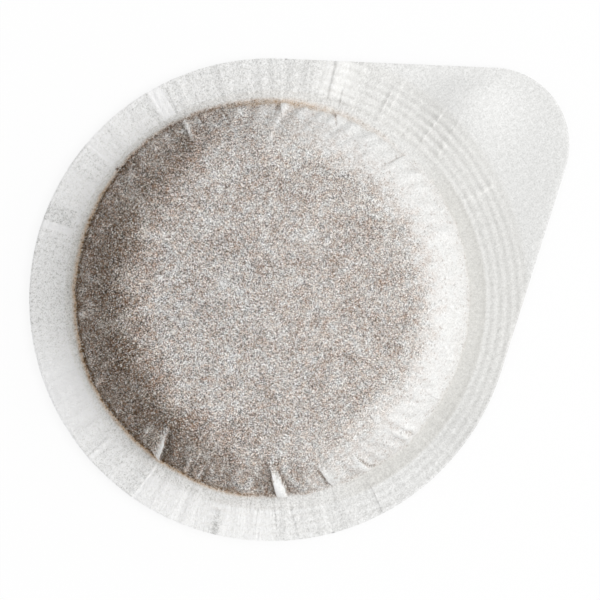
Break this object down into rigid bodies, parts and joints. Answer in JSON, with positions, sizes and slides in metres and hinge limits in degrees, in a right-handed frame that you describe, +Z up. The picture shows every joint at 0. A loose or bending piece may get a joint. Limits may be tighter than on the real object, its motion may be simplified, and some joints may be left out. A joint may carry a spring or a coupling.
{
  "type": "coffee pod",
  "caption": "Soft paper coffee pod: a tamped coffee puck sealed between filter papers, with a gathered wall, ridged flange and pull tab.",
  "frame": {"origin": "on the puck's axis, at the flat face of the lower paper that the pod lies on", "axes": "+Z up, out of the drawn side; +X from the puck's axis along the pull tab"},
  "size_m": [0.0671, 0.055, 0.01],
  "materials": {
    "filter_paper_upper": "matt off-white fibrous filter paper with the coffee showing through",
    "filter_paper_lower": "matt off-white fibrous filter paper with the coffee showing through",
    "ground_coffee": "tamped dark ground coffee, rough and granular"
  },
  "bodies": {
    "root": {"upper_filter_paper": "filter_paper_upper", "lower_filter_paper": "filter_paper_lower", "coffee_puck": "ground_coffee"}
  },
  "joints": []
}
